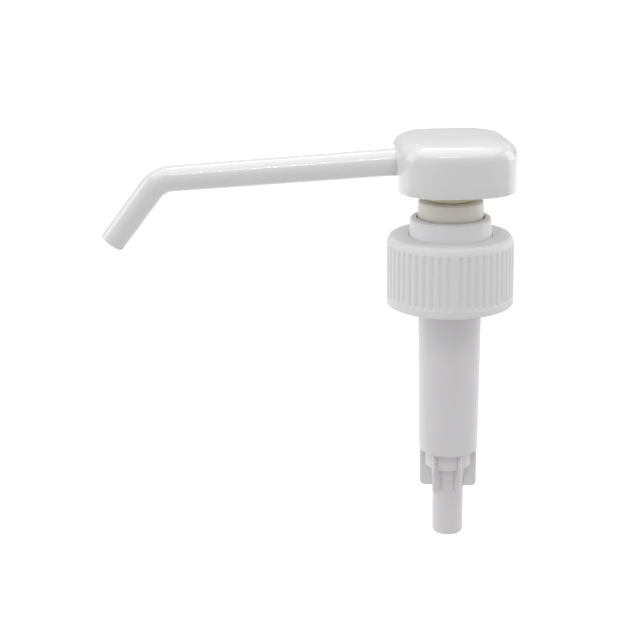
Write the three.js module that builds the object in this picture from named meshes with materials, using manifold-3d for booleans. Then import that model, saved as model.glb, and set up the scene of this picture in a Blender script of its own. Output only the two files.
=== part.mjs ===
// Long-nozzle condiment pump dispenser with a ribbed 33 mm screw closure.
// Millimetres, +Z up. The origin is on the pump axis, in the plane of the bottle's
// mouth (the underside of the gasket). The nozzle points along -X.

import * as THREE from 'three';
import { mergeVertices } from 'three/addons/utils/BufferGeometryUtils.js';
import Module from 'manifold-3d';

const wasm = await Module();
wasm.setup();

// ---- Driving dimensions ----------------------------------------------------------

const MESH_GAP = 0.3;          // gap left where two faceted round pieces fit together
const TOUCH_GAP = 0.15;        // axial play between pieces that turn on each other
const STROKE = 12;             // travel of the head
const EDGE = 0.3;              // small break on outside edges
const OVERLAP = 0.5;           // how far joined solids sink into each other

// Neck stack, from the mouth of the bottle upwards
const GASKET_TOP = 1.2;
const FLANGE_TOP = 2.3;        // top of the housing's flange
const CAPTIVE_TOP = 3.3;       // top of the collar's hidden flange
const CLOSURE_TOP = 4.9;
const CLOSURE_BOTTOM = -15.8;
const MOUTH_R = 16.1;          // outside of the bottle's mouth and of the gasket

// Screw closure
const CLOSURE_R = 19.0;        // outside radius at the bottom edge
const CLOSURE_DRAFT = 0.2;
const SHOULDER_Z = 2.1;        // where the side starts to round over
const SHOULDER_WIDTH = 1.55;   // how far in the round shoulder reaches
const CLOSURE_BORE_R = 16.6;
const RIB_COUNT = 50;
const GROOVE_DEPTH = 0.5;
const GROOVE_BOTTOM = -13.8;
const GROOVE_TOP = 2.8;
const THREAD_PITCH = 4.23;     // six threads to the inch
const THREAD_TURNS = 1.5;
const THREAD_R = 1.1;          // radius of the rounded thread, half sunk in the wall

// Collar: the cup that guides the stem and keeps the closure captive
const COLLAR_R = 12.3;
const COLLAR_RIM_Z = 10.3;
const COLLAR_DRAFT = 0.4;
const COLLAR_EDGE_R = 1.9;     // round outer edge of the rim
const COLLAR_BORE_R = 10.05;
const COLLAR_FLANGE_R = 15.3;
const CUP_R = 11.0;            // outside of the part that sits down in the housing
const CUP_PLAY = 0.9;          // between the pressed bell and the cup's floor
const CUP_FLOOR = 1.8;         // thickness of the cup's floor

// Head, in plan a square with large round corners
const HEAD_LENGTH = 34.6;      // along the nozzle
const HEAD_WIDTH = 38.6;
const HEAD_CORNER_R = 12.75;
const HEAD_BOTTOM = 19.3;
const HEAD_TOP = 34.25;
const HEAD_EDGE_R = 3.9;       // round top edge
const HEAD_WALL = 1.6;
const HEAD_ROOF = 2.0;
const HEAD_OFFSET = 0.75;      // the head reaches further back than forward
const HUB_R = 7.0;
const DUCT_R = 3.6;            // wall round the channel from the stem to the nozzle
const SOCKET_R = 4.9;          // wall round the nozzle's root
const CHANNEL_R = 2.0;

// Nozzle
const NOZZLE_ROOT_R = 4.0;
const NOZZLE_BEND_R = 3.85;
const NOZZLE_TIP_R = 3.65;
const NOZZLE_BORE_R = 2.6;
const NOZZLE_AXIS_Z = 27.5;    // height of its axis over the pump's axis
const NOZZLE_DROOP = 2.85;     // degrees below level
const NOZZLE_TIP_DROP = 52.2;  // degrees below level after the bend
const BEND_REACH = 84;         // from the pump's axis to the corner of the bend
const BEND_RADIUS = 8;
const TIP_LENGTH = 22.8;       // from the corner of the bend to the end
const SOCKET_REACH = 12.7;     // inner end of the nozzle's socket in the head

// Stem, its bell and the piston
const STEM_R = 3.6;
const STEM_BORE_R = 2.2;
const VALVE_BORE_R = 2.9;      // round the outlet ball
const STEM_TOP = 22.5;
const STEM_BOTTOM = -13.8;
const BELL_R = 9.75;
const BELL_TOP = 15.25;
const BELL_BOTTOM = 9.3;
const BELL_WALL = 1.2;
const BELL_BARREL = 0.15;      // how much its side bulges
const BELL_EDGE = 0.8;
const CUP_FLOOR_Z = BELL_BOTTOM - STROKE - CUP_PLAY;
const CUP_BOTTOM = CUP_FLOOR_Z - CUP_FLOOR;
const PISTON_TOP = -5.6;
const PISTON_BOTTOM = -13.6;
const OUTLET_BALL_R = 2.5;
const OUTLET_SEAT_Z = 17;
const OUTLET_SEAT_R = 1.9;
const OUTLET_CONE_RISE = 1.4;
const LIP_R = 5.2;             // root of the piston's two lips
const LIP_DEPTH = 2.5;
const LIP_WIDTH = 1.0;
const WAIST_R = 6.2;
const WAIST_HALF = 0.6;        // half the height of the piston's waist
const PLUG_PORT_R = 1.2;
const PLUG_FLANGE = 4.0;       // height of the plug below the stem
const PLUG_SHANK = 6.0;        // length of the plug inside the stem

// Housing, and the foot with the inlet valve
const BORE_R = 7.8;
const CHAMBER_R = 11.3;        // wide upper end that takes the cup
const CHAMBER_WALL = 1.1;
const CHAMBER_FLOOR = -5.7;
const NECK_DOWN = 3.0;         // height over which the chamber narrows to the barrel
const BARREL_TOP_R = 9.55;
const BARREL_BOTTOM_R = 9.05;
const BARREL_BOTTOM = -62.65;
const BORE_BOTTOM = -61;
const STEP_R = 7.1;
const STEP_BOTTOM = -68.15;
const ADAPTER_R = 4.8;
const ADAPTER_BOTTOM = -90.6;
const ADAPTER_BORE_R = 3.7;    // takes a dip tube
const ADAPTER_BORE_TOP = -70.5;
const FIN_COUNT = 6;
const FIN_REACH = 8.72;
const FIN_BOTTOM = -75.6;
const FIN_THICKNESS = 1.0;
const FIN_CORNER_R = 1.5;
const FIN_PHASE = -11;         // degrees from +X to the first fin
const INLET_BALL_R = 3.5;
const INLET_SEAT_Z = -68;
const INLET_SEAT_R = 2.4;
const INLET_POCKET_R = 4.5;
const INLET_CONE_RISE = 3.0;
const CAGE_SKIRT_R = 5.4;
const CAGE_HOLE_R = 2.6;
const CAGE_THICKNESS = 1.4;
const CAGE_SLOT_LENGTH = 8.6;
const CAGE_SLOT_WIDTH = 1.8;

// Spring
const SPRING_R = 5.2;
const SPRING_WIRE_R = 0.5;
const SPRING_TURNS = 9;
const SPRING_BOTTOM = -58;
const SPRING_TOP = -15.5;

// Facets round each kind of piece
const NECK_SIDES = 40;
const INNER_SIDES = 36;
const STEM_SIDES = 24;
const NOZZLE_SIDES = 16;

// ---- Materials -------------------------------------------------------------------

function plastic(name, color, roughness) {
  return new THREE.MeshStandardMaterial({ name, color, roughness, metalness: 0 });
}

function metal(name, color, roughness) {
  return new THREE.MeshStandardMaterial({ name, color, roughness, metalness: 1 });
}

// ---- Geometry helpers ------------------------------------------------------------

// Revolves [radius, height] points round Z. A profile that leaves the axis closes on itself.
function revolve(points, sides) {
  const onAxis = points[0][0] === 0 && points[points.length - 1][0] === 0;
  const outline = onAxis ? points : [...points, points[0]];
  let doubledArea = 0;
  outline.forEach(([r, z], i) => {
    const [nextR, nextZ] = outline[(i + 1) % outline.length];
    doubledArea += r * nextZ - nextR * z;
  });
  const ordered = doubledArea > 0 ? outline : [...outline].reverse();
  const geometry = new THREE.LatheGeometry(ordered.map(([r, z]) => new THREE.Vector2(r, z)), sides);
  return geometry.rotateX(Math.PI / 2);
}

// Points of a round from one direction to another, in degrees, centred on [r, z].
function arc(r, z, radiusR, radiusZ, fromDeg, toDeg, steps) {
  return Array.from({ length: steps + 1 }, (_, i) => {
    const angle = THREE.MathUtils.degToRad(fromDeg + ((toDeg - fromDeg) * i) / steps);
    return [r + radiusR * Math.cos(angle), z + radiusZ * Math.sin(angle)];
  });
}

function toSolid(geometry) {
  const bare = geometry.clone();
  bare.deleteAttribute('normal');
  bare.deleteAttribute('uv');
  const merged = mergeVertices(bare, 1e-4);
  return new wasm.Manifold(new wasm.Mesh({
    numProp: 3,
    vertProperties: new Float32Array(merged.attributes.position.array),
    triVerts: new Uint32Array(merged.index.array),
  }));
}

function toGeometry(solid) {
  const mesh = solid.getMesh();
  const geometry = new THREE.BufferGeometry();
  geometry.setAttribute('position', new THREE.BufferAttribute(new Float32Array(mesh.vertProperties), 3));
  geometry.setIndex(new THREE.BufferAttribute(new Uint32Array(mesh.triVerts), 1));
  geometry.computeVertexNormals();
  return geometry;
}

function join(geometries) {
  return geometries.map(toSolid).reduce((whole, piece) => whole.add(piece));
}

function roundedPlan(length, width, cornerR) {
  const plan = new THREE.Shape();
  const x = length / 2 - cornerR;
  const y = width / 2 - cornerR;
  plan.absarc(x, y, cornerR, 0, Math.PI / 2);
  plan.absarc(-x, y, cornerR, Math.PI / 2, Math.PI);
  plan.absarc(-x, -y, cornerR, Math.PI, 1.5 * Math.PI);
  plan.absarc(x, -y, cornerR, 1.5 * Math.PI, 2 * Math.PI);
  return plan;
}

function circle(radius) {
  return new THREE.Shape().absarc(0, 0, radius, 0, 2 * Math.PI);
}

// ---- Nozzle route ----------------------------------------------------------------

function direction(degreesBelowLevel) {
  const angle = THREE.MathUtils.degToRad(degreesBelowLevel);
  return new THREE.Vector3(-Math.cos(angle), 0, -Math.sin(angle));
}

function alongNozzle(reach) {
  const along = direction(NOZZLE_DROOP);
  return new THREE.Vector3(0, 0, NOZZLE_AXIS_Z).addScaledVector(along, reach / -along.x);
}

const rootDirection = direction(NOZZLE_DROOP);
const tipDirection = direction(NOZZLE_TIP_DROP);
const bendCorner = alongNozzle(BEND_REACH);
const bendAngle = THREE.MathUtils.degToRad(NOZZLE_TIP_DROP - NOZZLE_DROOP);
const bendTangent = BEND_RADIUS * Math.tan(bendAngle / 2);
const bendStart = bendCorner.clone().addScaledVector(rootDirection, -bendTangent);
const bendEnd = bendCorner.clone().addScaledVector(tipDirection, bendTangent);
const nozzleEnd = bendCorner.clone().addScaledVector(tipDirection, TIP_LENGTH);

// A straight round bar between two points, with a radius at each.
function bar(from, to, fromR, toR, sides) {
  const length = from.distanceTo(to);
  const geometry = new THREE.CylinderGeometry(toR, fromR, length, sides);
  geometry.translate(0, length / 2, 0);
  const turn = new THREE.Quaternion().setFromUnitVectors(
    new THREE.Vector3(0, 1, 0),
    to.clone().sub(from).normalize(),
  );
  return geometry.applyQuaternion(turn).translate(from.x, from.y, from.z);
}

// The round bend as an extrusion along its arc, a little longer than the arc at both ends.
function bend(radius, overlap) {
  const outward = new THREE.Vector3(rootDirection.z, 0, -rootDirection.x);
  const centre = bendStart.clone().addScaledVector(outward, -BEND_RADIUS);
  const route = new THREE.CurvePath();
  const steps = 6;
  const onArc = Array.from({ length: steps + 1 }, (_, i) => {
    const angle = (bendAngle * i) / steps;
    return centre.clone()
      .addScaledVector(outward, BEND_RADIUS * Math.cos(angle))
      .addScaledVector(rootDirection, BEND_RADIUS * Math.sin(angle));
  });
  const first = onArc[0].clone().addScaledVector(rootDirection, -overlap);
  const last = onArc[steps].clone().addScaledVector(tipDirection, overlap);
  const points = [first, ...onArc, last];
  points.slice(1).forEach((point, i) => route.add(new THREE.LineCurve3(points[i], point)));
  return new THREE.ExtrudeGeometry(circle(radius), {
    steps: steps + 2,
    curveSegments: NOZZLE_SIDES / 2,
    extrudePath: new THREE.CatmullRomCurve3(points),
  });
}

// ---- Pieces ----------------------------------------------------------------------

function closureGeometry() {
  const sideR = CLOSURE_R - CLOSURE_DRAFT;
  const shoulder = arc(
    sideR - SHOULDER_WIDTH, SHOULDER_Z, SHOULDER_WIDTH, CLOSURE_TOP - SHOULDER_Z, 0, 90, 5,
  );
  const openingR = COLLAR_R + MESH_GAP;
  const roofZ = CAPTIVE_TOP + TOUCH_GAP;
  const body = revolve([
    [CLOSURE_BORE_R, CLOSURE_BOTTOM],
    [CLOSURE_R - EDGE, CLOSURE_BOTTOM],
    [CLOSURE_R, CLOSURE_BOTTOM + EDGE],
    ...shoulder,
    [openingR, CLOSURE_TOP],
    [openingR, roofZ],
    [CLOSURE_BORE_R, roofZ],
  ], RIB_COUNT);
  const thread = threadGeometry();
  const grooves = Array.from({ length: RIB_COUNT }, (_, i) => grooveGeometry(i));
  return toGeometry(join([body, thread]).subtract(join(grooves)));
}

// One groove between two ribs: a long bar with four sides, pointed at both ends.
function grooveGeometry(index) {
  const length = GROOVE_TOP - GROOVE_BOTTOM;
  const pitch = (2 * Math.PI * CLOSURE_R) / RIB_COUNT;
  const profile = new THREE.Shape([
    new THREE.Vector2(0, -0.3 * pitch),
    new THREE.Vector2(2 * GROOVE_DEPTH, -0.5 * pitch),
    new THREE.Vector2(2 * GROOVE_DEPTH, 0.5 * pitch),
    new THREE.Vector2(0, 0.3 * pitch),
  ]);
  const facetR = CLOSURE_R * Math.cos(Math.PI / RIB_COUNT);
  const angle = (2 * Math.PI * (index + 0.5)) / RIB_COUNT;
  return new THREE.ExtrudeGeometry(profile, { depth: length, bevelEnabled: false })
    .translate(facetR - GROOVE_DEPTH, 0, GROOVE_BOTTOM)
    .rotateZ(angle);
}

function threadGeometry() {
  const stepsPerTurn = 20;
  const count = THREAD_TURNS * stepsPerTurn;
  const points = Array.from({ length: count + 1 }, (_, i) => {
    const angle = (2 * Math.PI * i) / stepsPerTurn;
    const z = CLOSURE_BOTTOM + THREAD_PITCH + (THREAD_PITCH * i) / stepsPerTurn;
    return new THREE.Vector3(CLOSURE_BORE_R * Math.cos(angle), CLOSURE_BORE_R * Math.sin(angle), z);
  });
  return new THREE.ExtrudeGeometry(circle(THREAD_R), {
    steps: count,
    curveSegments: 3,
    extrudePath: new THREE.CatmullRomCurve3(points),
  });
}

function gasketGeometry() {
  const innerR = CHAMBER_R + CHAMBER_WALL + MESH_GAP;
  return revolve([
    [innerR, 0],
    [MOUTH_R, 0],
    [MOUTH_R, GASKET_TOP],
    [innerR, GASKET_TOP],
  ], NECK_SIDES);
}

function collarGeometry() {
  const guideR = STEM_R + MESH_GAP;
  const topEdge = arc(
    COLLAR_R - COLLAR_DRAFT - COLLAR_EDGE_R, COLLAR_RIM_Z - COLLAR_EDGE_R,
    COLLAR_EDGE_R, COLLAR_EDGE_R, 0, 80, 4,
  );
  return revolve([
    [guideR, CUP_BOTTOM],
    [CUP_R, CUP_BOTTOM],
    [CUP_R, FLANGE_TOP],
    [COLLAR_FLANGE_R, FLANGE_TOP],
    [COLLAR_FLANGE_R, CAPTIVE_TOP],
    [COLLAR_R, CAPTIVE_TOP],
    ...topEdge,
    [COLLAR_BORE_R, COLLAR_RIM_Z],
    [COLLAR_BORE_R, CUP_FLOOR_Z],
    [guideR, CUP_FLOOR_Z],
  ], NECK_SIDES);
}

function finGeometry(index) {
  const top = BARREL_BOTTOM - TOUCH_GAP;
  const rootX = ADAPTER_R - OVERLAP;
  const cornerX = FIN_REACH - FIN_CORNER_R;
  const cornerZ = FIN_BOTTOM + FIN_CORNER_R;
  const outline = new THREE.Shape();
  outline.moveTo(rootX, FIN_BOTTOM);
  outline.lineTo(cornerX, FIN_BOTTOM);
  outline.absarc(cornerX, cornerZ, FIN_CORNER_R, -Math.PI / 2, 0);
  outline.lineTo(FIN_REACH, top);
  outline.lineTo(rootX, top);
  return new THREE.ExtrudeGeometry(outline, { depth: FIN_THICKNESS, bevelEnabled: false, curveSegments: 4 })
    .translate(0, 0, -FIN_THICKNESS / 2)
    .rotateX(Math.PI / 2)
    .rotateZ(THREE.MathUtils.degToRad(FIN_PHASE + (360 * index) / FIN_COUNT));
}

function housingGeometry() {
  const chamberOuterR = CHAMBER_R + CHAMBER_WALL;
  const flangeR = MOUTH_R - MESH_GAP;
  return revolve([
    [BORE_R, BARREL_BOTTOM],
    [BARREL_BOTTOM_R, BARREL_BOTTOM],
    [BARREL_TOP_R, CHAMBER_FLOOR - NECK_DOWN],
    [chamberOuterR, CHAMBER_FLOOR - CHAMBER_WALL],
    [chamberOuterR, GASKET_TOP],
    [flangeR, GASKET_TOP],
    [flangeR, FLANGE_TOP],
    [CHAMBER_R, FLANGE_TOP],
    [CHAMBER_R, CHAMBER_FLOOR],
    [BORE_R, CHAMBER_FLOOR],
  ], NECK_SIDES);
}

// The foot closes the barrel: inlet valve seat, fins and the adapter for the dip tube.
function footGeometry() {
  const spigotR = BORE_R - MESH_GAP;
  const spigotBottom = BARREL_BOTTOM - TOUCH_GAP;
  const passage = [
    [INLET_POCKET_R, BORE_BOTTOM],
    [INLET_POCKET_R, INLET_SEAT_Z + INLET_CONE_RISE],
    [INLET_SEAT_R, INLET_SEAT_Z],
    [INLET_SEAT_R, ADAPTER_BORE_TOP],
    [ADAPTER_BORE_R, ADAPTER_BORE_TOP],
  ];
  const body = revolve([
    [ADAPTER_BORE_R, ADAPTER_BOTTOM],
    [ADAPTER_R - EDGE, ADAPTER_BOTTOM],
    [ADAPTER_R, ADAPTER_BOTTOM + EDGE],
    [ADAPTER_R, STEP_BOTTOM],
    [STEP_R, STEP_BOTTOM],
    [STEP_R, spigotBottom],
    [spigotR, spigotBottom],
    [spigotR, BORE_BOTTOM],
    ...passage,
  ], NECK_SIDES);
  const fins = Array.from({ length: FIN_COUNT }, (_, i) => finGeometry(i));
  const cleared = revolve([
    [0, BORE_BOTTOM],
    ...passage,
    [ADAPTER_BORE_R, ADAPTER_BOTTOM],
    [0, ADAPTER_BOTTOM],
  ], NECK_SIDES);
  return toGeometry(join([body, ...fins]).subtract(toSolid(cleared)));
}

function headGeometry() {
  const outer = new THREE.ExtrudeGeometry(
    roundedPlan(HEAD_LENGTH - 2 * HEAD_EDGE_R, HEAD_WIDTH - 2 * HEAD_EDGE_R, HEAD_CORNER_R - HEAD_EDGE_R),
    {
      depth: HEAD_TOP - HEAD_BOTTOM,
      bevelThickness: HEAD_EDGE_R,
      bevelSize: HEAD_EDGE_R,
      bevelSegments: 5,
      curveSegments: 8,
    },
  ).translate(HEAD_OFFSET, 0, HEAD_BOTTOM - HEAD_EDGE_R);
  const below = new THREE.BoxGeometry(2 * HEAD_LENGTH, 2 * HEAD_WIDTH, HEAD_BOTTOM)
    .translate(0, 0, HEAD_BOTTOM / 2);
  const cavity = new THREE.ExtrudeGeometry(
    roundedPlan(HEAD_LENGTH - 2 * HEAD_WALL, HEAD_WIDTH - 2 * HEAD_WALL, HEAD_CORNER_R - HEAD_WALL),
    { depth: HEAD_TOP - HEAD_ROOF - HEAD_BOTTOM + OVERLAP, bevelEnabled: false, curveSegments: 8 },
  ).translate(HEAD_OFFSET, 0, HEAD_BOTTOM - OVERLAP);
  const hubTop = HEAD_TOP - HEAD_ROOF / 2;
  const hub = revolve([
    [0, BELL_TOP + TOUCH_GAP],
    [HUB_R, BELL_TOP + TOUCH_GAP],
    [HUB_R, hubTop],
    [0, hubTop],
  ], INNER_SIDES);
  const wallReach = HEAD_LENGTH / 2 - HEAD_OFFSET;
  const ductEnd = alongNozzle(wallReach - OVERLAP);
  const duct = bar(alongNozzle(0), ductEnd, DUCT_R, DUCT_R, NOZZLE_SIDES);
  const socket = bar(alongNozzle(SOCKET_REACH), ductEnd, SOCKET_R, SOCKET_R, NOZZLE_SIDES);
  const stemHoleR = STEM_R + TOUCH_GAP;
  const stemHoleTop = STEM_TOP + TOUCH_GAP;
  const stemSocket = revolve([
    [0, BELL_TOP],
    [stemHoleR, BELL_TOP],
    [stemHoleR, stemHoleTop],
    [CHANNEL_R, stemHoleTop],
    [CHANNEL_R, NOZZLE_AXIS_Z],
    [0, NOZZLE_AXIS_Z],
  ], STEM_SIDES);
  const channel = bar(alongNozzle(0), alongNozzle(wallReach), CHANNEL_R, CHANNEL_R, NOZZLE_SIDES);
  const nozzleHole = bar(
    alongNozzle(SOCKET_REACH), alongNozzle(wallReach + HEAD_WALL),
    NOZZLE_ROOT_R + TOUCH_GAP, NOZZLE_ROOT_R + TOUCH_GAP, NOZZLE_SIDES,
  );
  return toGeometry(
    toSolid(outer)
      .subtract(toSolid(below))
      .subtract(toSolid(cavity))
      .add(toSolid(hub))
      .add(join([duct, socket]))
      .subtract(join([stemSocket, channel]))
      .subtract(toSolid(nozzleHole)),
  );
}

function nozzleGeometry() {
  const root = alongNozzle(SOCKET_REACH + MESH_GAP);
  const outside = join([
    bar(root, bendStart, NOZZLE_ROOT_R, NOZZLE_BEND_R, NOZZLE_SIDES),
    bend(NOZZLE_BEND_R, OVERLAP),
    bar(bendEnd, nozzleEnd, NOZZLE_BEND_R, NOZZLE_TIP_R, NOZZLE_SIDES),
  ]);
  const beyondRoot = root.clone().addScaledVector(rootDirection, -OVERLAP);
  const beyondTip = nozzleEnd.clone().addScaledVector(tipDirection, OVERLAP);
  const inside = join([
    bar(beyondRoot, bendStart, NOZZLE_BORE_R, NOZZLE_BORE_R, NOZZLE_SIDES),
    bend(NOZZLE_BORE_R, OVERLAP),
    bar(bendEnd, beyondTip, NOZZLE_BORE_R, NOZZLE_BORE_R, NOZZLE_SIDES),
  ]);
  return toGeometry(outside.subtract(inside));
}

function bellGeometry() {
  const stemHoleR = STEM_R + TOUCH_GAP;
  const innerR = BELL_R - BELL_WALL;
  const roofBottom = BELL_TOP - BELL_WALL;
  return revolve([
    [stemHoleR, roofBottom],
    [innerR, roofBottom],
    [innerR, BELL_BOTTOM],
    [BELL_R - BELL_BARREL, BELL_BOTTOM],
    [BELL_R, (BELL_TOP + BELL_BOTTOM) / 2],
    [BELL_R - BELL_BARREL, BELL_TOP - BELL_EDGE],
    [BELL_R - BELL_EDGE, BELL_TOP],
    [stemHoleR, BELL_TOP],
  ], INNER_SIDES);
}

function stemGeometry() {
  return revolve([
    [STEM_BORE_R, STEM_BOTTOM],
    [STEM_R, STEM_BOTTOM],
    [STEM_R, STEM_TOP],
    [VALVE_BORE_R, STEM_TOP],
    [VALVE_BORE_R, OUTLET_SEAT_Z + OUTLET_CONE_RISE],
    [OUTLET_SEAT_R, OUTLET_SEAT_Z],
    [STEM_BORE_R, OUTLET_SEAT_Z - OUTLET_CONE_RISE],
  ], STEM_SIDES);
}

function pistonGeometry() {
  const sealR = BORE_R - TOUCH_GAP;
  const sleeveR = STEM_R + TOUCH_GAP;
  const middle = (PISTON_TOP + PISTON_BOTTOM) / 2;
  return revolve([
    [sleeveR, PISTON_BOTTOM + LIP_WIDTH],
    [LIP_R, PISTON_BOTTOM + LIP_WIDTH],
    [LIP_R, PISTON_BOTTOM + LIP_DEPTH],
    [sealR - LIP_WIDTH, PISTON_BOTTOM],
    [sealR, PISTON_BOTTOM],
    [WAIST_R, middle - WAIST_HALF],
    [WAIST_R, middle + WAIST_HALF],
    [sealR, PISTON_TOP],
    [sealR - LIP_WIDTH, PISTON_TOP],
    [LIP_R, PISTON_TOP - LIP_DEPTH],
    [LIP_R, PISTON_TOP],
    [sleeveR, PISTON_TOP],
  ], INNER_SIDES);
}

// The plug in the stem's lower end: it carries the piston and the spring, and lets liquid in.
function plugGeometry() {
  const shankR = STEM_BORE_R - TOUCH_GAP;
  const spigotR = SPRING_R - 3 * SPRING_WIRE_R;
  const flangeR = SPRING_R + SPRING_WIRE_R;
  const flangeTop = STEM_BOTTOM - TOUCH_GAP;
  return revolve([
    [PLUG_PORT_R, flangeTop - PLUG_FLANGE],
    [spigotR, flangeTop - PLUG_FLANGE],
    [spigotR, SPRING_TOP],
    [flangeR, SPRING_TOP],
    [flangeR, flangeTop],
    [shankR, flangeTop],
    [shankR, flangeTop + PLUG_SHANK],
    [PLUG_PORT_R, flangeTop + PLUG_SHANK],
  ], STEM_SIDES);
}

function springGeometry() {
  const stepsPerTurn = 12;
  const count = SPRING_TURNS * stepsPerTurn;
  const low = SPRING_BOTTOM + SPRING_WIRE_R + TOUCH_GAP;
  const high = SPRING_TOP - SPRING_WIRE_R - TOUCH_GAP;
  const points = Array.from({ length: count + 1 }, (_, i) => {
    const angle = (2 * Math.PI * i) / stepsPerTurn;
    const z = THREE.MathUtils.lerp(low, high, i / count);
    return new THREE.Vector3(SPRING_R * Math.cos(angle), SPRING_R * Math.sin(angle), z);
  });
  return new THREE.ExtrudeGeometry(circle(SPRING_WIRE_R), {
    steps: count,
    curveSegments: 3,
    extrudePath: new THREE.CatmullRomCurve3(points),
  });
}

// The cage over the inlet ball: it stops the ball, passes liquid and seats the spring.
function cageGeometry() {
  const rimR = BORE_R - MESH_GAP;
  const underside = SPRING_BOTTOM - CAGE_THICKNESS;
  const ring = revolve([
    [CAGE_SKIRT_R, BORE_BOTTOM],
    [rimR, BORE_BOTTOM],
    [rimR, SPRING_BOTTOM],
    [CAGE_HOLE_R, SPRING_BOTTOM],
    [CAGE_HOLE_R, underside],
    [CAGE_SKIRT_R, underside],
  ], INNER_SIDES);
  const slot = new THREE.BoxGeometry(CAGE_SLOT_LENGTH, CAGE_SLOT_WIDTH, 4 * CAGE_THICKNESS)
    .translate(0, 0, SPRING_BOTTOM);
  const crossSlot = slot.clone().rotateZ(Math.PI / 2);
  return toGeometry(toSolid(ring).subtract(join([slot, crossSlot])));
}

// Height of a ball's centre when it rests in a cone that starts at [seatR, seatZ].
function restHeight(ballR, seatR, seatZ, coneRun, coneRise) {
  const slope = Math.hypot(coneRun, coneRise);
  return seatZ + ((ballR + TOUCH_GAP) * slope - seatR * coneRise) / coneRun;
}

function ballGeometry(radius) {
  return new THREE.SphereGeometry(radius, 14, 10).rotateX(Math.PI / 2);
}

// ---- Assembly --------------------------------------------------------------------

const WHITE = 0xe9e9e8;
const NATURAL = 0xeceae2;

const pump = new THREE.Group();

function add(name, geometry, material, z = 0) {
  const mesh = new THREE.Mesh(geometry, material);
  mesh.name = name;
  mesh.position.z = z;
  pump.add(mesh);
}

add('housing', housingGeometry(), plastic('housing_plastic', NATURAL, 0.38));
add('foot', footGeometry(), plastic('foot_plastic', NATURAL, 0.38));
add('ball_cage', cageGeometry(), plastic('cage_plastic', NATURAL, 0.4));
add('collar', collarGeometry(), plastic('collar_plastic', WHITE, 0.35));
add('gasket', gasketGeometry(), plastic('gasket_foam', NATURAL, 0.8));
add('closure', closureGeometry(), plastic('closure_plastic', WHITE, 0.42));
add('piston', pistonGeometry(), plastic('piston_plastic', NATURAL, 0.45));
add('piston_plug', plugGeometry(), plastic('plug_plastic', WHITE, 0.4));
add('stem', stemGeometry(), plastic('stem_plastic', WHITE, 0.35));
add('stem_bell', bellGeometry(), plastic('bell_plastic', NATURAL, 0.4));
add('head', headGeometry(), plastic('head_plastic', WHITE, 0.25));
add('nozzle', nozzleGeometry(), plastic('nozzle_plastic', WHITE, 0.22));
add('spring', springGeometry(), metal('spring_steel', 0xb8bcc0, 0.3));
add(
  'outlet_ball', ballGeometry(OUTLET_BALL_R), metal('outlet_ball_steel', 0xc4c8cc, 0.2),
  restHeight(
    OUTLET_BALL_R, OUTLET_SEAT_R, OUTLET_SEAT_Z, VALVE_BORE_R - OUTLET_SEAT_R, OUTLET_CONE_RISE,
  ),
);
add(
  'inlet_ball', ballGeometry(INLET_BALL_R), metal('inlet_ball_steel', 0xc4c8cc, 0.2),
  restHeight(
    INLET_BALL_R, INLET_SEAT_R, INLET_SEAT_Z, INLET_POCKET_R - INLET_SEAT_R, INLET_CONE_RISE,
  ),
);

export default pump;
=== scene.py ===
"""Looks for the condiment pump dispenser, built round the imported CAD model.

Pieces are drawn in millimetres and scaled to metres by finish_mesh. Lights, floor and camera
are in metres. The frame is the model's: +Z up the pump's axis, -X along the nozzle, origin in
the plane of the bottle's mouth.
"""

import math

import bmesh
import bpy
from mathutils import Matrix, Vector


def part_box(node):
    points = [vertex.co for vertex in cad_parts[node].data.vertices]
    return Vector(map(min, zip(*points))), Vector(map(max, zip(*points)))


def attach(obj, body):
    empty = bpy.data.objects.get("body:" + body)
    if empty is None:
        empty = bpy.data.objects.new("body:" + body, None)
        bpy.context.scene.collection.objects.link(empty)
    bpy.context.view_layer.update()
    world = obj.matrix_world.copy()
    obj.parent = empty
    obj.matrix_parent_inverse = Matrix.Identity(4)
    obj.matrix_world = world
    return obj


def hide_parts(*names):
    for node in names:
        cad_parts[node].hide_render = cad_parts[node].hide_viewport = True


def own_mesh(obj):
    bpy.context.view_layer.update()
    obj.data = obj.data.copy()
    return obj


MM = 0.001
SIDES = 144                         # facets round a turned piece
INNER_SIDES = 96                    # facets round a hidden turned piece
TUBE_SIDES = 48                     # facets round the nozzle and the duct

# Neck, in millimetres
CLOSURE_BORE_R = 16.6
RIB_PITCH = math.radians(7.2)
RIB_DEPTH = 0.48
RIBS_PER_HALF = 24.5                # as far as the land at the back
RIB_LAND = math.radians(3.4)        # where the two halves of the mould meet
COLLAR_R = 12.3
COLLAR_BORE_R = 10.05
CUP_R = 11.0
CUP_FLOOR = -3.6
GUIDE_R = 3.9                       # the cup's hole for the stem
GASKET_TOP = 1.2
FLANGE_TOP = 2.3
CAPTIVE_TOP = 3.3                   # top of the collar's hidden flange

# Pump, in millimetres
BORE_R = 7.8
CHAMBER_R = 11.3
CHAMBER_FLOOR = -5.7
BARREL_BOTTOM = -62.65
BARREL_BOTTOM_R = 9.05
BARREL_TOP_R = 9.55
STEP_R = 7.1
STEP_BOTTOM = -68.15
ADAPTER_R = 4.8
ADAPTER_BORE_R = 3.7
ADAPTER_BORE_TOP = -70.5
INLET_SEAT_R = 2.4
INLET_SEAT_Z = -68
INLET_POCKET_R = 4.5
FIN_COUNT = 6
FIN_BOTTOM = -75.6
FIN_REACH = 8.72
FIN_ROOT_R = 4.4
FIN_PHASE = -11                     # degrees from +X to the first fin
STEM_R = 3.6
STEM_HOLE_R = 3.75                  # in the pieces that the stem goes through
WIRE_R = 0.5

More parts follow.
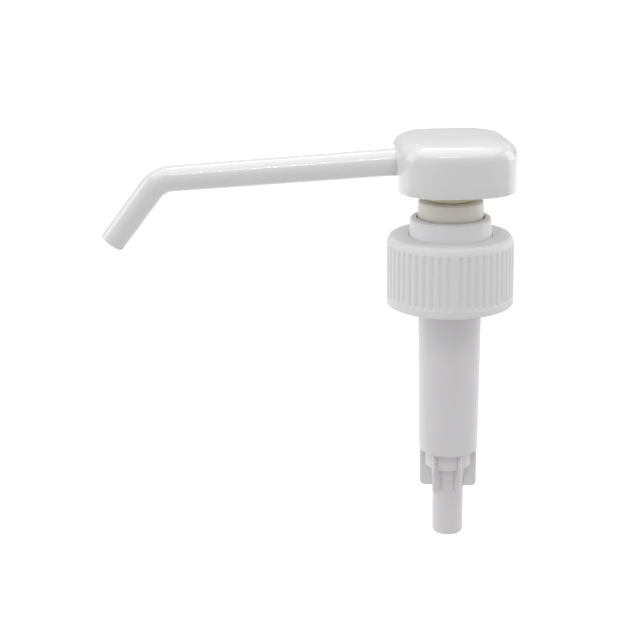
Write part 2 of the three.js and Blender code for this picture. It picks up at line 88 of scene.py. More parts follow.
# Head and nozzle, in millimetres and degrees below level
HEAD_BOTTOM = 19.3
HEAD_ROOF = 2.0
STEM_HOLE_TOP = 22.65
NOZZLE_AXIS_Z = 27.5
NOZZLE_DROOP = 2.85
TIP_DROP = 52.2
NOZZLE_START = 13.0                 # from the pump's axis to the nozzle's inner end
BEND_REACH = 84
BEND_RADIUS = 8.0
TIP_LENGTH = 22.8

# Studio, in metres
STUDIO_X = -0.03
ROOF_Z = 0.5
ROOF_FRONT = -0.45
ROOF_BACK = 0.25
FLOOR_Z = -0.55
CAMERA_YAW = math.radians(7.35)     # how far the camera looks round from the nozzle's side
CLOSURE_PARTING = math.radians(-90 + 2.05) - CAMERA_YAW

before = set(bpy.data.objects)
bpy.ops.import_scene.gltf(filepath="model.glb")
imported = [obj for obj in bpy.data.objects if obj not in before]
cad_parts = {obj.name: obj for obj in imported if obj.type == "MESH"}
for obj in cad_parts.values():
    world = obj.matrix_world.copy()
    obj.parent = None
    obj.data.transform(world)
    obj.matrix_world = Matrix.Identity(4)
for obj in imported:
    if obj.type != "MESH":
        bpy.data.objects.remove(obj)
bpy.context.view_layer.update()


def low(node):
    """Lowest corner of a CAD node, in millimetres."""
    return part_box(node)[0] / MM


def high(node):
    """Highest corner of a CAD node, in millimetres."""
    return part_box(node)[1] / MM


# ---- Materials ---------------------------------------------------------------------


COOL = (1.0, 0.995, 0.985)          # tints that the base colour drifts towards
WARM = (1.0, 0.985, 0.95)


def plastic(name, color, roughness, grain, glow=0.12, coat=0.0, tint=WARM, specular=0.5):
    """Moulded plastic: faint colour drift, a fine grain, gloss that varies and soft scatter."""
    material = bpy.data.materials.new(name)
    material.use_nodes = True
    nodes, links = material.node_tree.nodes, material.node_tree.links
    shader = nodes["Principled BSDF"]
    place = nodes.new("ShaderNodeTexCoord")

    drift = nodes.new("ShaderNodeTexNoise")
    drift.inputs["Scale"].default_value = 55
    drift.inputs["Detail"].default_value = 3
    links.new(place.outputs["Object"], drift.inputs["Vector"])
    shade = nodes.new("ShaderNodeMix")
    shade.data_type = "RGBA"
    shade.inputs["A"].default_value = (*color, 1)
    shade.inputs["B"].default_value = (*(c * t for c, t in zip(color, tint)), 1)
    links.new(drift.outputs["Fac"], shade.inputs["Factor"])
    links.new(shade.outputs["Result"], shader.inputs["Base Color"])

    wear = nodes.new("ShaderNodeTexNoise")
    wear.inputs["Scale"].default_value = 240
    wear.inputs["Detail"].default_value = 5
    links.new(place.outputs["Object"], wear.inputs["Vector"])
    gloss = nodes.new("ShaderNodeMapRange")
    gloss.inputs["From Min"].default_value = 0.3
    gloss.inputs["From Max"].default_value = 0.7
    gloss.inputs["To Min"].default_value = roughness * 0.85
    gloss.inputs["To Max"].default_value = roughness * 1.2
    links.new(wear.outputs["Fac"], gloss.inputs["Value"])
    links.new(gloss.outputs["Result"], shader.inputs["Roughness"])

    texture = nodes.new("ShaderNodeTexNoise")
    texture.inputs["Scale"].default_value = 1900
    texture.inputs["Detail"].default_value = 2
    links.new(place.outputs["Object"], texture.inputs["Vector"])
    waves = nodes.new("ShaderNodeTexNoise")
    waves.inputs["Scale"].default_value = 90
    links.new(place.outputs["Object"], waves.inputs["Vector"])
    sink = nodes.new("ShaderNodeBump")
    sink.inputs["Strength"].default_value = 0.12
    sink.inputs["Distance"].default_value = 0.0001
    links.new(waves.outputs["Fac"], sink.inputs["Height"])
    bump = nodes.new("ShaderNodeBump")
    bump.inputs["Strength"].default_value = grain
    bump.inputs["Distance"].default_value = 0.00005
    links.new(texture.outputs["Fac"], bump.inputs["Height"])
    links.new(sink.outputs["Normal"], bump.inputs["Normal"])
    links.new(bump.outputs["Normal"], shader.inputs["Normal"])

    shader.inputs["IOR"].default_value = 1.49
    shader.inputs["Subsurface Weight"].default_value = glow
    shader.inputs["Subsurface Radius"].default_value = (1.0, 0.85, 0.6)
    shader.inputs["Subsurface Scale"].default_value = 0.0012
    shader.inputs["Specular IOR Level"].default_value = specular
    shader.inputs["Coat Weight"].default_value = coat
    shader.inputs["Coat Roughness"].default_value = 0.035
    return material


def steel(name):
    """Drawn and polished stainless steel with fine streaks."""
    material = bpy.data.materials.new(name)
    material.use_nodes = True
    nodes, links = material.node_tree.nodes, material.node_tree.links
    shader = nodes["Principled BSDF"]
    place = nodes.new("ShaderNodeTexCoord")
    streaks = nodes.new("ShaderNodeTexNoise")
    streaks.inputs["Scale"].default_value = 900
    streaks.inputs["Detail"].default_value = 4
    links.new(place.outputs["Object"], streaks.inputs["Vector"])
    gloss = nodes.new("ShaderNodeMapRange")
    gloss.inputs["To Min"].default_value = 0.16
    gloss.inputs["To Max"].default_value = 0.34
    links.new(streaks.outputs["Fac"], gloss.inputs["Value"])
    links.new(gloss.outputs["Result"], shader.inputs["Roughness"])
    tone = nodes.new("ShaderNodeValToRGB")
    tone.color_ramp.elements[0].color = (0.55, 0.56, 0.57, 1)
    tone.color_ramp.elements[1].color = (0.74, 0.75, 0.76, 1)
    links.new(streaks.outputs["Fac"], tone.inputs["Fac"])
    links.new(tone.outputs["Color"], shader.inputs["Base Color"])
    shader.inputs["Metallic"].default_value = 1
    return material


GLOSS = plastic("gloss_white_plastic", (0.765, 0.765, 0.77), 0.2, 0.004, coat=0.8, tint=COOL, specular=0.8)
SATIN = plastic("satin_white_plastic", (0.785, 0.785, 0.795), 0.55, 0.2, tint=COOL)
COLLAR = plastic("collar_white_plastic", (0.84, 0.84, 0.86), 0.36, 0.1, tint=COOL)
# Cream base colour and tint are painted light: the warm glow of light through the plastic and bounced
# between the parts, on the ring under the head.
PAINTED_GLOW_CREAM = plastic("cream_painted_glow_plastic", (0.85, 0.82, 0.77), 0.36, 0.12, glow=0.2, tint=(1.0, 0.98, 0.93))
# Yellow base colour and tint are painted light: the warm glow of light through the plastic in the shaded
# recess under the head.
HUB_PAINTED_GLOW = plastic("hub_painted_warm_glow_plastic", (0.86, 0.82, 0.62), 0.4, 0.12, glow=0.2, tint=(1.0, 0.97, 0.85))
NATURAL = plastic("natural_plastic", (0.76, 0.75, 0.765), 0.36, 0.1, glow=0.3, tint=(1.0, 0.99, 0.985))
INNER = plastic("inner_plastic", (0.72, 0.71, 0.67), 0.4, 0.15, glow=0.3)
FOAM = plastic("gasket_foam", (0.76, 0.76, 0.74), 0.8, 0.9)
STEEL = steel("spring_steel")


# ---- Mesh helpers ------------------------------------------------------------------


def arc(r, z, radius_r, radius_z, start, end, steps=8):
    """Points on a round about (r, z), with angles in degrees from outwards to upwards."""
    points = []
    for i in range(steps + 1):
        angle = math.radians(start + (end - start) * i / steps)
        points.append((r + radius_r * math.cos(angle), z + radius_z * math.sin(angle)))
    return points


def softened(outline, steps=5):
    """A closed (r, z, round) outline with each corner replaced by an arc of its own radius."""
    result = []
    count = len(outline)
    for i, (r, z, radius) in enumerate(outline):
        here = Vector((r, z))
        before = Vector(outline[i - 1][:2]) - here
        after = Vector(outline[(i + 1) % count][:2]) - here
        if radius <= 0:
            result.append((r, z))
            continue
        u, v = before.normalized(), after.normalized()
        half = math.acos(max(-1, min(1, u.dot(v)))) / 2
        reach = min(radius / math.tan(half), 0.49 * before.length, 0.49 * after.length)
        round_r = reach * math.tan(half)
        centre = here + (u + v).normalized() * (round_r / math.sin(half))
        start = here + u * reach - centre
        end = here + v * reach - centre
        turn = math.atan2(start.x * end.y - start.y * end.x, start.dot(end))
        for k in range(steps + 1):
            angle = turn * k / steps
            c, s = math.cos(angle), math.sin(angle)
            result.append((centre.x + start.x * c - start.y * s, centre.y + start.x * s + start.y * c))
    return result


def finish_mesh(name, mesh, material, body, slot, *nodes):
    """Turns a bmesh in millimetres into a smooth-shaded piece that rides on a body."""
    bmesh.ops.remove_doubles(mesh, verts=mesh.verts, dist=1e-5)
    bmesh.ops.scale(mesh, vec=(MM, MM, MM), verts=mesh.verts)
    bmesh.ops.recalc_face_normals(mesh, faces=mesh.faces)
    data = bpy.data.meshes.new(name)
    mesh.to_mesh(data)
    mesh.free()
    data.materials.append(material)
    data.shade_smooth()
    data.set_sharp_from_angle(angle=math.radians(38))
    piece = bpy.data.objects.new(name, data)
    bpy.context.collection.objects.link(piece)
    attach(piece, body)
    if nodes:
        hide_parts(*nodes)
    return piece


def turned(mesh, outline, sides=SIDES, shape=None):
    """Adds a closed (r, z) outline turned round Z. shape(r, z, angle) may give a new r."""
    rings = []
    for i in range(sides):
        angle = 2 * math.pi * i / sides
        ring = []
        for r, z in outline:
            here = shape(r, z, angle) if shape else r
            ring.append(mesh.verts.new((here * math.cos(angle), here * math.sin(angle), z)))
        rings.append(ring)
    count = len(outline)
    for i in range(sides):
        a, b = rings[i], rings[(i + 1) % sides]
        for k in range(count):
            n = (k + 1) % count
            mesh.faces.new((a[k], b[k], b[n], a[n]))


def tube_ring(mesh, centre, outward, upward, radius, sides):
    """Adds one ring of points round centre."""
    ring = []
    for k in range(sides):
        angle = 2 * math.pi * k / sides
        ring.append(mesh.verts.new(centre + (outward * math.cos(angle) + upward * math.sin(angle)) * radius))
    return ring


def facing_ring(mesh, centre, ahead, radius):
    """Adds one ring round centre, square to ahead, a direction in the XZ plane."""
    across = Vector((0, 1, 0))
    return tube_ring(mesh, centre, across, ahead.normalized().cross(across), radius, TUBE_SIDES)


def swept(mesh, path, radii):
    """Adds a ring for each radius along a path that lies in the XZ plane, and returns them."""
    rings = []
    for i, radius in enumerate(radii):
        ahead = path[min(i + 1, len(path) - 1)] - path[max(i - 1, 0)]
        rings.append(facing_ring(mesh, path[i], ahead, radius))
    return rings


def bridge(mesh, rings, closed=False):
    """Joins rings of equal size with quads."""
    following = rings[1:] + rings[:1] if closed else rings[1:]
    for a, b in zip(rings, following):
        for k in range(len(a)):
            n = (k + 1) % len(a)
            mesh.faces.new((a[k], a[n], b[n], b[k]))


# ---- Screw closure -----------------------------------------------------------------


def smooth(value):
    """An even ramp from 0 to 1 that starts and ends level."""
    value = max(0.0, min(1.0, value))
    return value * value * (3 - 2 * value)


def groove_angle(angle):
    """Angle from the middle of the nearest groove, spaced both ways from the front land."""
    turned_by = (angle - CLOSURE_PARTING + math.pi) % (2 * math.pi) - math.pi
    from_land = abs(turned_by) - RIB_LAND / 2
    if from_land < 0 or from_land > RIBS_PER_HALF * RIB_PITCH:
        return RIB_PITCH / 2
    return (from_land % RIB_PITCH) - RIB_PITCH / 2


def build_closure():
    """The screw closure, with round-ended grooves between its ribs."""
    bottom, top = low("closure").z, high("closure").z
    outer = high("closure").x
    draft, shoulder_width, shoulder_drop = 0.2, 1.55, 2.8
    opening_r, roof = COLLAR_R + 0.08, CAPTIVE_TOP + 0.15
    groove_low, groove_high = bottom + 2.0, top - 2.1
    half_width, cap = 0.8, 1.3
    fine = 0.14                     # spacing of the rows where the grooves end

    def side_r(z):
        return outer - draft * (z - bottom) / (top - bottom)

    def shape(r, z, angle):
        if r < CLOSURE_BORE_R + 0.6 or z < groove_low - 1 or z > top - 0.2:
            return r
        along = abs(groove_angle(angle)) * outer
        beyond = max(groove_low + cap - z, z - (groove_high - cap), 0.0)
        distance = math.hypot(along, beyond * half_width / cap)
        return r - RIB_DEPTH * smooth(1.25 * (1 - distance / half_width))

    lower = [groove_low - 0.3 + fine * i for i in range(12)]
    middle = [groove_low + 2.2 + i for i in range(13) if groove_low + 2.2 + i < groove_high - 2.2]
    upper = [groove_high - 1.9 + fine * i for i in range(5)]
    side = [(side_r(z), z) for z in lower + middle + upper if z < top - shoulder_drop - 0.05]
    edge_r = side_r(top - shoulder_drop) - shoulder_width
    side += arc(edge_r, top - shoulder_drop, shoulder_width, shoulder_drop, 0, 90, 22)
    outline = softened([
        (CLOSURE_BORE_R, bottom, 0.3), (outer, bottom, 0.35), *((r, z, 0) for r, z in side),
        (opening_r, top, 0.25), (opening_r, roof, 0.2), (CLOSURE_BORE_R, roof, 0.6),
    ], 4)
    mesh = bmesh.new()
    turned(mesh, outline, sides=600, shape=shape)
    finish_mesh("closure_ribbed", mesh, SATIN, "screw_closure", "satin_white", "closure")


def build_thread():
    """The rounded thread inside the closure, with run-out at both ends."""
    bottom = low("closure").z
    pitch, turns, radius = 4.23, 1.5, 1.1
    steps, sides = 160, 16
    run_out = 14                    # the thread swells to full size over 1/14 of its length
    mesh = bmesh.new()
    rings = []
    for i in range(steps + 1):
        share = i / steps
        angle = 2 * math.pi * turns * share
        size = radius * max(0.03, smooth(min(share, 1 - share) * run_out))
        outward = Vector((math.cos(angle), math.sin(angle), 0))
        centre = outward * (CLOSURE_BORE_R + 0.05) + Vector((0, 0, bottom + pitch + pitch * turns * share))
        rings.append(tube_ring(mesh, centre, outward, Vector((0, 0, 1)), size, sides))
    bridge(mesh, rings)
    mesh.faces.new(rings[0])
    mesh.faces.new(rings[-1])
    finish_mesh("closure_thread", mesh, SATIN, "screw_closure", "satin_white")


# ---- Collar, barrel, foot and valves -----------------------------------------------


def build_collar():
    """The cup that guides the stem, its hidden flange and the round rim above the closure."""
    rim, bottom = high("collar").z, low("collar").z
    flange_r = high("collar").x
    outline = softened([
        (GUIDE_R, bottom, 0.2), (CUP_R, bottom, 0.6), (CUP_R, FLANGE_TOP, 0),
        (flange_r, FLANGE_TOP, 0.2), (flange_r, CAPTIVE_TOP, 0.2), (COLLAR_R, CAPTIVE_TOP, 0),
        (COLLAR_R - 0.35, rim, 1.75), (COLLAR_BORE_R, rim, 0.25), (COLLAR_BORE_R, CUP_FLOOR, 0.5),
        (GUIDE_R, CUP_FLOOR, 0.3),
    ], 10)
    mesh = bmesh.new()
    turned(mesh, outline)
    finish_mesh("collar_cup", mesh, COLLAR, "pump_body", "satin_white", "collar")


def build_gasket():
    """The foam ring between the housing's flange and the bottle."""
    bottom, top = low("gasket").z, high("gasket").z
    inner, outer, edge = 12.7, high("gasket").x, 0.3
    mesh = bmesh.new()
    turned(mesh, softened([
        (inner, bottom, edge), (outer, bottom, edge), (outer, top, edge), (inner, top, edge),
    ]))
    finish_mesh("neck_gasket", mesh, FOAM, "pump_body", "gasket_foam", "gasket")


def fin(mesh, angle, top):
    """One thin radial fin with a round lower corner, slightly thinner at its outer edge."""
    corner = 1.5
    root_half, taper = 0.55, 0.048
    side = [(FIN_ROOT_R, top), (FIN_ROOT_R, FIN_BOTTOM)]
    side += arc(FIN_REACH - corner, FIN_BOTTOM + corner, corner, corner, -90, 0, 10)
    side += [(FIN_REACH, top)]
    radial = Vector((math.cos(angle), math.sin(angle), 0))
    across = Vector((-radial.y, radial.x, 0))
    faces = []
    for sign in (-1, 1):
        row = []
        for r, z in side:
            half = root_half - taper * (r - FIN_ROOT_R)
            row.append(mesh.verts.new(radial * r + across * (sign * half) + Vector((0, 0, z))))
        faces.append(row)
        mesh.faces.new(row)
    left, right = faces
    for k in range(len(side)):
        n = (k + 1) % len(side)
        mesh.faces.new((left[k], left[n], right[n], right[k]))


def build_housing():
    """The barrel, the wide chamber at its top and the flange on the bottle's mouth."""
    flange_r, chamber_outer_r = high("housing").x, 12.4
    mesh = bmesh.new()
    turned(mesh, softened([
        (BORE_R, BARREL_BOTTOM, 0.2), (BARREL_BOTTOM_R, BARREL_BOTTOM, 0.35),
        (BARREL_TOP_R, CHAMBER_FLOOR - 3.0, 0.5), (chamber_outer_r, CHAMBER_FLOOR - 1.1, 0.5),
        (chamber_outer_r, GASKET_TOP, 0), (flange_r, GASKET_TOP, 0.2), (flange_r, FLANGE_TOP, 0.2),
        (CHAMBER_R, FLANGE_TOP, 0.3), (CHAMBER_R, CHAMBER_FLOOR, 0.4), (BORE_R, CHAMBER_FLOOR, 0.4),
    ]))
    finish_mesh("housing_barrel", mesh, NATURAL, "pump_body", "natural_plastic", "housing")


def build_foot():
    """The foot that closes the barrel: inlet seat, step, fins and the adapter for a dip tube."""
    bottom, top = low("foot").z, high("foot").z
    spigot_r, bead_r = 7.5, 5.25
    neck = BARREL_BOTTOM - 0.15
    mesh = bmesh.new()
    turned(mesh, softened([
        (ADAPTER_BORE_R, bottom, 0.3), (ADAPTER_R, bottom, 0.45), (ADAPTER_R, -71.9, 0.15),
        (bead_r, -71.6, 0.15), (bead_r, STEP_BOTTOM - 0.3, 0.2), (STEP_R, STEP_BOTTOM, 0.5),
        (STEP_R, neck, 0), (spigot_r, neck, 0), (spigot_r, top, 0.2), (INLET_POCKET_R, top, 0.3),
        (INLET_POCKET_R, INLET_SEAT_Z + 3, 0), (INLET_SEAT_R, INLET_SEAT_Z, 0),
        (INLET_SEAT_R, ADAPTER_BORE_TOP, 0.2), (ADAPTER_BORE_R, ADAPTER_BORE_TOP, 0),
    ]))
    finish_mesh("foot_adapter", mesh, NATURAL, "pump_body", "natural_plastic", "foot")
    fins = bmesh.new()
    for i in range(FIN_COUNT):
        fin(fins, math.radians(FIN_PHASE + 360 / FIN_COUNT * i), neck)
    blades = finish_mesh("foot_fins", fins, NATURAL, "pump_body", "natural_plastic")
    soften = blades.modifiers.new("soft_edges", "BEVEL")
    soften.width = 0.22 * MM
    soften.segments = 3
    soften.limit_method = "ANGLE"
    soften.angle_limit = math.radians(40)


def build_cage():
    """The ring and four bars over the inlet ball; the spring stands on it."""
    seat, foot = high("ball_cage").z, low("ball_cage").z
    skirt_r, rim_r, ring_r, thickness = 5.4, 7.5, 4.4, 1.4
    bar_size, bar_centre = (2.4, 1.6, 1.3), (3.95, 0, seat - 0.65)
    mesh = bmesh.new()
    turned(mesh, softened([
        (skirt_r, foot, 0.2), (rim_r, foot, 0.2), (rim_r, seat, 0.2), (ring_r, seat, 0.2),
        (ring_r, seat - thickness, 0.2), (skirt_r, seat - thickness, 0),
    ]), INNER_SIDES)
    for i in range(4):
        angle = math.pi / 4 + i * math.pi / 2
        bar = bmesh.ops.create_cube(mesh, size=1)["verts"]
        bmesh.ops.scale(mesh, vec=bar_size, verts=bar)
        bmesh.ops.translate(mesh, vec=bar_centre, verts=bar)
        bmesh.ops.rotate(mesh, matrix=Matrix.Rotation(angle, 3, "Z"), cent=(0, 0, 0), verts=bar)
    finish_mesh("inlet_ball_cage", mesh, INNER, "pump_body", "natural_plastic", "ball_cage")


def build_ball(name, node, body):
    """A smooth steel valve ball where the model has its ball."""
    bottom, top = low(node).z, high(node).z
    mesh = bmesh.new()
    ball = bmesh.ops.create_uvsphere(mesh, u_segments=48, v_segments=24, radius=(top - bottom) / 2)
    bmesh.ops.translate(mesh, vec=(0, 0, (top + bottom) / 2), verts=ball["verts"])
    finish_mesh(name, mesh, STEEL, body, "spring_steel", node)


# ---- Head, nozzle, stem and spring -------------------------------------------------


def rounded_plan(length, width, corner, offset, steps=16):
    """Points of a rectangle with round corners, anticlockwise from its +X side."""
    points = []
    for quarter, (sx, sy) in enumerate(((1, 1), (-1, 1), (-1, -1), (1, -1))):
        centre = Vector((offset + sx * (length / 2 - corner), sy * (width / 2 - corner)))
        for i in range(steps + 1):
            angle = math.pi / 2 * (quarter + i / steps)
            points.append(centre + corner * Vector((math.cos(angle), math.sin(angle))))
    return points


def build_head():
    """The hollow press button: four walls, a large round edge and a slightly crowned top."""
    bottom, top = HEAD_BOTTOM, high("head").z
    length = high("head").x - low("head").x
    width = high("head").y - low("head").y
    offset = (high("head").x + low("head").x) / 2
    corner, wall = 12.75, 1.6
    edge_across, edge_drop, crown = 5.0, 4.3, 0.54
    edge_steps, crown_steps, last_corner = 12, 8, 0.6
    edge_end = math.radians(83)     # where the round edge meets the crown's slope
    side_top = top - crown - edge_drop * math.sin(edge_end)

    def ring(inset, z):
        plan = rounded_plan(length - 2 * inset, width - 2 * inset, corner - inset, offset)
        return [mesh.verts.new((p.x, p.y, z)) for p in plan]

    mesh = bmesh.new()
    levels = [(wall, top - HEAD_ROOF - 0.8), (wall, bottom + 0.25), (wall - 0.25, bottom)]
    levels += [(0.3, bottom), (0.08, bottom + 0.1), (0, bottom + 0.3)]
    levels += [(0, bottom + 3), (0, bottom + 7), (0, side_top)]
    for i in range(1, edge_steps + 1):
        angle = edge_end * i / edge_steps
        levels.append((edge_across * (1 - math.cos(angle)), side_top + edge_drop * math.sin(angle)))
    edge_in = levels[-1][0]
    for i in range(1, crown_steps + 1):
        share = i / crown_steps
        inset = edge_in + (corner - edge_in - last_corner) * share
        levels.append((inset, top - crown * (1 - share) ** 2))
    rings = [ring(inset, z) for inset, z in levels]
    bridge(mesh, rings)
    mesh.faces.new(rings[-1])
    ceiling = ring(wall + 0.8, top - HEAD_ROOF)
    bridge(mesh, [ceiling, rings[0]])
    mesh.faces.new(list(reversed(ceiling)))
    finish_mesh("head_shell", mesh, GLOSS, "pump_head", "gloss_white", "head")


def build_hub():
    """The hub that takes the stem, from the head's roof down to the ring."""
    bottom, top = low("head").z, high("head").z - HEAD_ROOF + 0.5
    hub_r, channel_r = 7.0, 2.0
    mesh = bmesh.new()
    turned(mesh, softened([
        (STEM_HOLE_R, bottom, 0.2), (hub_r, bottom, 0.3), (hub_r, top, 0), (channel_r, top, 0),
        (channel_r, STEM_HOLE_TOP, 0), (STEM_HOLE_R, STEM_HOLE_TOP, 0),
    ]), INNER_SIDES)
    finish_mesh("head_hub", mesh, HUB_PAINTED_GLOW, "pump_head", "gloss_white")


def direction(drop):
    """The way along the nozzle where it points drop degrees below level."""
    angle = math.radians(drop)
    return Vector((-math.cos(angle), 0, -math.sin(angle)))


def build_duct():
    """The duct and the nozzle's socket under the head's roof, with four thin webs."""
    top = high("head").z
    root, first = Vector((0, 0, NOZZLE_AXIS_Z)), direction(NOZZLE_DROOP)
    duct_r, socket_r = 3.6, 4.9
    web_profile = ((6.8, top - 2), (16.2, top - 2), (13.5, top - 7), (6.8, top - 8))
    web_half = 0.45
    mesh = bmesh.new()
    path = [root + first * x for x in (5.0, 12.4, 12.7, 15.9)]
    bridge(mesh, swept(mesh, path, [duct_r, duct_r, socket_r, socket_r]))
    for angle in (45, 135, 225, 315):
        radial = Vector((math.cos(math.radians(angle)), math.sin(math.radians(angle)), 0))
        across = Vector((-radial.y, radial.x, 0))
        corners = []
        for sign in (-1, 1):
            for r, z in web_profile:
                corners.append(mesh.verts.new(radial * r + across * (web_half * sign) + Vector((0, 0, z))))
        front, back = corners[:4], corners[4:]
        mesh.faces.new(front)
        mesh.faces.new(back)
        for k in range(4):
            n = (k + 1) % 4
            mesh.faces.new((front[k], front[n], back[n], back[k]))
    finish_mesh("head_duct", mesh, GLOSS, "pump_head", "gloss_white")


def nozzle_path():
    """Points along the nozzle's axis, from its inner end in the head to its outer end."""
    root = Vector((0, 0, NOZZLE_AXIS_Z))
    first, second = direction(NOZZLE_DROOP), direction(TIP_DROP)
    straight_steps, bend_steps, tip_steps = 12, 20, 6
    corner = root + first * (BEND_REACH / -first.x)
    turn = math.radians(TIP_DROP - NOZZLE_DROOP)
    start = corner - first * (BEND_RADIUS * math.tan(turn / 2))
    upward = Vector((first.z, 0, -first.x))
    centre = start - upward * BEND_RADIUS
    inner = root + first * NOZZLE_START
    straight = (start - inner).length
    points = [inner + first * (straight * i / straight_steps) for i in range(straight_steps + 1)]
    for i in range(1, bend_steps + 1):
        angle = turn * i / bend_steps
        points.append(centre + (upward * math.cos(angle) + first * math.sin(angle)) * BEND_RADIUS)
    last, end = points[-1], corner + second * TIP_LENGTH
    points += [last + (end - last) * (i / tip_steps) for i in range(1, tip_steps + 1)]
    return points


def build_nozzle():
    """The long bent tube, tapering slightly, open at both ends, its mouth's edge broken."""
    root_r, taper, bore_r, edge = 4.0, 0.35, 2.6, 0.15
    edge_back, lip_back = 0.3, 0.001    # each end ring faces away from a point this far back
    path = nozzle_path()
    along = [0.0]
    for a, b in zip(path, path[1:]):
        along.append(along[-1] + (b - a).length)
    radii = [root_r - taper * run / along[-1] for run in along]
    end = path[-1]
    tip = (end - path[-2]).normalized()
    edge_start = end - tip * edge
    mesh = bmesh.new()
    outside = swept(mesh, path, radii[:-1])
    outside.append(facing_ring(mesh, edge_start, edge_start - (end - tip * edge_back), radii[-1]))
    lip = facing_ring(mesh, end, end - (end - tip * lip_back), radii[-1] - edge)
    inside = swept(mesh, path, [bore_r] * len(path))
    bridge(mesh, outside + [lip] + inside[::-1], closed=True)
    finish_mesh("nozzle_tube", mesh, GLOSS, "pump_head", "gloss_white", "nozzle")


def build_bell():
    """The ring under the head, with a slightly bulging side; its cream colour is a painted warm glow of
    light through the plastic.
    """
    bottom, top = low("stem_bell").z, high("stem_bell").z
    widest, wall = 9.75, 1.2
    mesh = bmesh.new()
    turned(mesh, softened([
        (STEM_HOLE_R, top - wall, 0), (widest - wall, top - wall, 0.3), (widest - wall, bottom, 0.3),
        (widest - 0.15, bottom, 0.3), (widest, bottom + 3.2, 2.5), (widest - 0.2, top, 0.7),
        (STEM_HOLE_R, top, 0),
    ]))
    finish_mesh("stem_bell_ring", mesh, PAINTED_GLOW_CREAM, "pump_head", "natural_plastic", "stem_bell")


def build_stem():
    """The hollow rod, with the outlet ball's seat near its top."""
    bottom, top = low("stem").z, high("stem").z
    bore_r, valve_r, seat_r, seat_z = 2.2, 2.9, 1.9, 17
    mesh = bmesh.new()
    turned(mesh, softened([
        (bore_r, bottom, 0.2), (STEM_R, bottom, 0.3), (STEM_R, top, 0.2), (valve_r, top, 0.2),
        (valve_r, seat_z + 1.4, 0), (seat_r, seat_z, 0.1), (seat_r, seat_z - 1, 0), (bore_r, seat_z - 2, 0),
    ]), INNER_SIDES)
    finish_mesh("stem_tube", mesh, INNER, "pump_head", "satin_white", "stem")


def build_piston():
    """The piston: a sleeve with a thin sealing lip at each end."""
    bottom, top = low("piston").z, high("piston").z
    middle = (bottom + top) / 2
    sleeve_r, waist_r, seal_r, lip = 5.2, 6.2, 7.65, 1.0
    mesh = bmesh.new()
    turned(mesh, softened([
        (STEM_HOLE_R, bottom + lip, 0), (sleeve_r, bottom + lip, 0.2), (sleeve_r, bottom + 2.5, 0.3),
        (seal_r - lip, bottom, 0.15), (seal_r, bottom, 0.1), (waist_r, middle - 0.6, 0.4),
        (waist_r, middle + 0.6, 0.4), (seal_r, top, 0.1), (seal_r - lip, top, 0.15),
        (sleeve_r, top - 2.5, 0.3), (sleeve_r, top, 0.2), (STEM_HOLE_R, top, 0),
    ]), INNER_SIDES)
    finish_mesh("piston_lips", mesh, INNER, "plunger", "natural_plastic", "piston")


def build_plug():
    """The plug in the stem's lower end, with the flange that the spring pushes on."""
    bottom, top = low("piston_plug").z, high("piston_plug").z
    seat, flange_top = high("spring").z + 0.15, top - 6
    port_r, spigot_r, flange_r, shank_r = 1.2, 3.7, 5.7, 2.05
    mesh = bmesh.new()
    turned(mesh, softened([
        (port_r, bottom, 0.2), (spigot_r, bottom, 0.5), (spigot_r, seat, 0), (flange_r, seat, 0.2),
        (flange_r, flange_top, 0.2), (shank_r, flange_top, 0), (shank_r, top, 0.3), (port_r, top, 0.2),
    ]), INNER_SIDES)
    finish_mesh("stem_plug", mesh, INNER, "pump_head", "satin_white", "piston_plug")


def build_spring():
    """Even coils of wire. Their lower end stays on the cage, so they ride on the pump's body."""
    bottom, top = low("spring").z + WIRE_R, high("spring").z - WIRE_R
    radius, turns, steps_per_turn, sides = 5.2, 9, 40, 12
    steps = turns * steps_per_turn
    mesh = bmesh.new()
    rings = []
    for i in range(steps + 1):
        share = i / steps
        angle = 2 * math.pi * turns * share
        outward = Vector((math.cos(angle), math.sin(angle), 0))
        centre = outward * radius + Vector((0, 0, bottom + (top - bottom) * share))
        rings.append(tube_ring(mesh, centre, outward, Vector((0, 0, 1)), WIRE_R, sides))
    bridge(mesh, rings)
    mesh.faces.new(rings[0])
    mesh.faces.new(rings[-1])
    return finish_mesh("return_spring", mesh, STEEL, "pump_body", "spring_steel", "spring")


# ---- Studio ------------------------------------------------------------------------


def area_light(name, place, target, size, power):
    """A white rectangular lamp, unseen by the camera, turned towards target."""
    light = bpy.data.lights.new(name, "AREA")
    light.shape = "RECTANGLE"
    light.size, light.size_y = size
    light.energy = power
    lamp = bpy.data.objects.new(name, light)
    lamp.location = place
    lamp.rotation_euler = (Vector(target) - Vector(place)).to_track_quat("-Z", "Y").to_euler()
    lamp.visible_camera = False
    bpy.context.collection.objects.link(lamp)


def lamp_row(name, y):
    """A strip of small lamps along one edge of the roof light, for the rows of highlights."""
    count, spacing, size, power = 20, 0.0135, (0.005, 0.022), 0.014
    for i in range(count):
        x = STUDIO_X + spacing * (i - (count - 1) / 2)
        area_light(f"{name}_{i:02d}", (x, y, ROOF_Z - 0.01), (x, 0, 0.02), size, power)


def build_world():
    """Even white light from all round."""
    world = bpy.data.worlds.new("studio")
    bpy.context.scene.world = world
    world.use_nodes = True
    back = world.node_tree.nodes["Background"]
    back.inputs["Color"].default_value = (1, 1, 1, 1)
    back.inputs["Strength"].default_value = 0.6


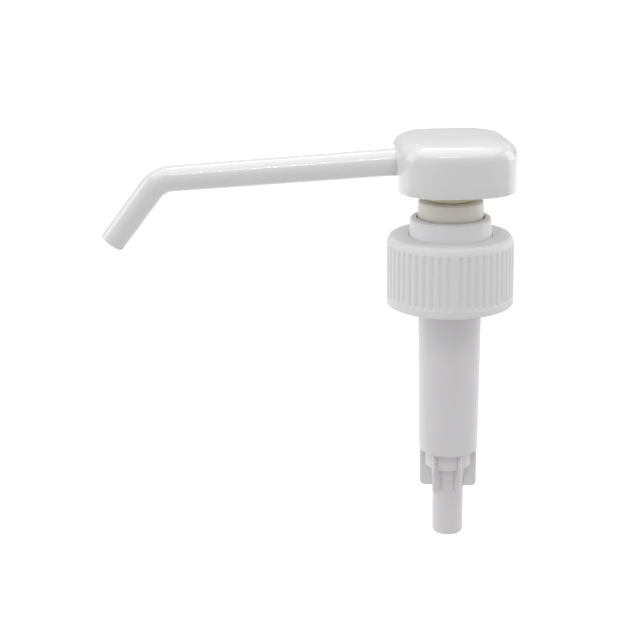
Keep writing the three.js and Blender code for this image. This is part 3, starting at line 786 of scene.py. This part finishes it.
def floor_material():
    """Matt white that glows towards the back, where the camera sees it behind the pump."""
    material = bpy.data.materials.new("floor_white")
    material.use_nodes = True
    nodes, links = material.node_tree.nodes, material.node_tree.links
    shader = nodes["Principled BSDF"]
    shader.inputs["Base Color"].default_value = (0.9, 0.9, 0.9, 1)
    shader.inputs["Roughness"].default_value = 1
    shader.inputs["Emission Color"].default_value = (1, 1, 1, 1)
    place = nodes.new("ShaderNodeTexCoord")
    split = nodes.new("ShaderNodeSeparateXYZ")
    fade = nodes.new("ShaderNodeMapRange")
    fade.interpolation_type = "SMOOTHSTEP"
    fade.inputs["From Min"].default_value = 0.15
    fade.inputs["From Max"].default_value = 0.65
    fade.inputs["To Min"].default_value = 0.0
    fade.inputs["To Max"].default_value = 0.7
    links.new(place.outputs["Object"], split.inputs["Vector"])
    links.new(split.outputs["Y"], fade.inputs["Value"])
    links.new(fade.outputs["Result"], shader.inputs["Emission Strength"])
    return material


def build_floor():
    """A wide pale floor, far enough below the pump to take no clear shadow."""
    mesh = bmesh.new()
    bmesh.ops.create_grid(mesh, x_segments=1, y_segments=1, size=12)
    bmesh.ops.translate(mesh, vec=(0, 0, FLOOR_Z), verts=mesh.verts)
    data = bpy.data.meshes.new("floor")
    mesh.to_mesh(data)
    mesh.free()
    data.materials.append(floor_material())
    floor = bpy.data.objects.new("floor", data)
    bpy.context.collection.objects.link(floor)


def build_lights():
    """A roof light with a strip of small lamps along its two edges, and a light on each side."""
    roof_y = (ROOF_FRONT + ROOF_BACK) / 2
    roof_size = (0.9, ROOF_BACK - ROOF_FRONT)
    area_light("roof", (STUDIO_X, roof_y, ROOF_Z), (STUDIO_X, roof_y, 0), roof_size, 1.75)
    area_light("left", (-0.75, 0.1, 0.2), (0, 0, -0.02), (0.4, 0.6), 1.0)
    area_light("right", (0.75, 0.15, 0.2), (0, 0, -0.02), (0.4, 0.6), 1.0)
    lamp_row("front_lamp", ROOF_FRONT)
    lamp_row("back_lamp", ROOF_BACK)


def build_camera():
    """A camera a little above the pump, 0.41 m away; the shift keeps the whole nozzle in view."""
    camera = bpy.data.cameras.new("camera")
    camera.sensor_width = 36
    camera.lens = 78.23
    camera.shift_x = -0.1249
    camera.clip_start = 0.01
    body = bpy.data.objects.new("camera", camera)
    body.location = (-0.06572, -0.39307, 0.10425)
    body.rotation_euler = (math.radians(90 - 17.557), 0, -CAMERA_YAW)
    bpy.context.collection.objects.link(body)
    bpy.context.scene.camera = body


build_camera()
build_closure()
build_thread()
build_collar()
build_gasket()
build_housing()
build_foot()
build_cage()
build_ball("inlet_valve_ball", "inlet_ball", "inlet_valve")
build_ball("outlet_valve_ball", "outlet_ball", "outlet_valve")
build_head()
build_hub()
build_duct()
build_nozzle()
build_bell()
build_stem()
build_piston()
build_plug()
spring = build_spring()
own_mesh(spring)
build_world()
build_floor()
build_lights()
bpy.context.scene.view_settings.view_transform = "Standard"
